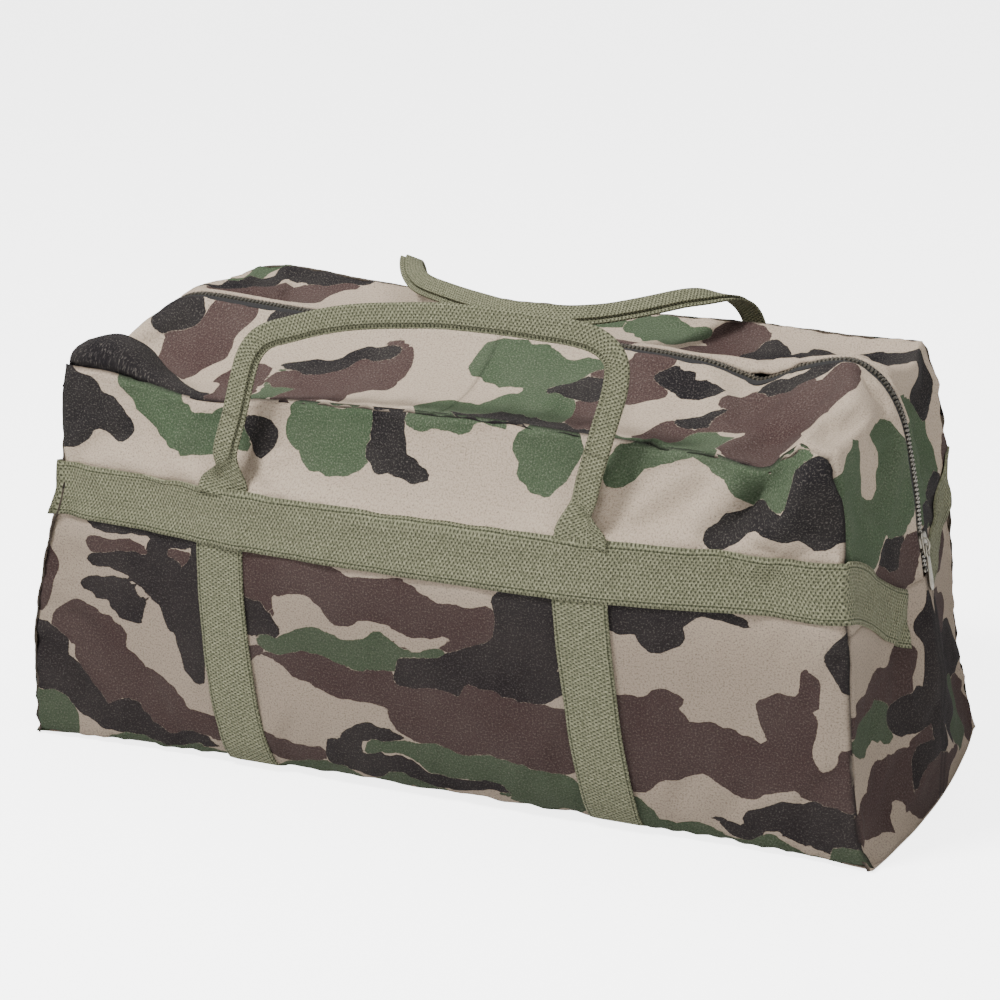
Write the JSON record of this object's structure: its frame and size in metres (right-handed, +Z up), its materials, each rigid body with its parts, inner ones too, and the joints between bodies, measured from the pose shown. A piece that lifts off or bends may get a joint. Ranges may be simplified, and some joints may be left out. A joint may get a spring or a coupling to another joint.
{
  "type": "duffel bag",
  "caption": "Large zip-top duffel bag of camouflage canvas, with a webbing band round the upper body, straps under the base and webbing carry handles.",
  "frame": {"origin": "centre of the underside, on the surface the bag stands on", "axes": "+X along the bag's length towards the end with the zip slider, -Y is the front, +Z up"},
  "size_m": [0.784, 0.3646, 0.4243],
  "materials": {
    "camo_cloth": "heavy woven canvas, printed in a woodland camouflage of tan, green, brown and black",
    "webbing": "thick olive webbing, matt, ribbed weave",
    "zip_tape": "dark woven tape",
    "zip_metal": "bright satin"
  },
  "bodies": {
    "tub": {"bottom_panel": "camo_cloth", "front_panel": "camo_cloth", "back_panel": "camo_cloth", "right_end_lower": "camo_cloth", "left_end_lower": "camo_cloth", "right_end_front": "camo_cloth", "right_end_rear": "camo_cloth", "left_end_front": "camo_cloth", "left_end_rear": "camo_cloth", "rear_top": "camo_cloth", "front_band": "webbing", "rear_band": "webbing", "right_band_front": "webbing", "right_band_rear": "webbing", "left_band_front": "webbing", "left_band_rear": "webbing", "left_strap_front": "webbing", "left_strap_rear": "webbing", "left_strap_under": "webbing", "right_strap_front": "webbing", "right_strap_rear": "webbing", "right_strap_under": "webbing", "right_zip_tape_front": "zip_tape", "right_zip_tape_rear": "zip_tape", "left_zip_tape_front": "zip_tape", "left_zip_tape_rear": "zip_tape", "right_zip_teeth_front": "zip_metal", "right_zip_teeth_rear": "zip_metal", "left_zip_teeth_front": "zip_metal", "left_zip_teeth_rear": "zip_metal", "right_zip_stop": "zip_metal", "left_zip_stop": "zip_metal", "rear_zip_tape": "zip_tape", "rear_zip_teeth": "zip_metal"},
    "front_lid": {"front_flap": "camo_cloth", "front_zip_tape": "zip_tape", "front_zip_teeth": "zip_metal"},
    "slider": {"zip_slider": "zip_metal"},
    "pull": {"zip_pull": "zip_metal"},
    "front_handle": {"front_leg_left": "webbing", "front_leg_right": "webbing"},
    "front_hand_grip": {"front_arm_left": "webbing", "front_arm_right": "webbing", "front_grip": "webbing"},
    "rear_handle": {"rear_leg_left": "webbing", "rear_leg_right": "webbing"},
    "rear_hand_grip": {"rear_arm_left": "webbing", "rear_arm_right": "webbing", "rear_grip": "webbing"}
  },
  "joints": [
    {"name": "front_lid_hinge", "type": "hinge", "parent": "tub", "child": "front_lid", "pos_m": [0, -0.1519, 0.3403], "axis": [1, 0, 0], "range_deg": [0, 80]},
    {"name": "slider_slide", "type": "slide", "parent": "tub", "child": "slider", "axis": [-0.1867, 0, 0.9824], "range_m": [0, 0.09]},
    {"name": "pull_hinge", "type": "hinge", "parent": "slider", "child": "pull", "pos_m": [0.37623, 0, 0.22242], "axis": [0, -1, 0], "range_deg": [0, 150]},
    {"name": "front_handle_hinge", "type": "hinge", "parent": "tub", "child": "front_handle", "pos_m": [0, -0.1785, 0.2575], "axis": [1, 0, 0], "range_deg": [0, 120]},
    {"name": "front_grip_hinge", "type": "hinge", "parent": "front_handle", "child": "front_hand_grip", "pos_m": [0, -0.1785, 0.3745], "axis": [1, 0, 0], "range_deg": [-60, 45]},
    {"name": "rear_handle_hinge", "type": "hinge", "parent": "tub", "child": "rear_handle", "pos_m": [0, 0.1785, 0.2575], "axis": [-1, 0, 0], "range_deg": [0, 120]},
    {"name": "rear_grip_hinge", "type": "hinge", "parent": "rear_handle", "child": "rear_hand_grip", "pos_m": [0, 0.1785, 0.3745], "axis": [-1, 0, 0], "range_deg": [0, 115]}
  ]
}
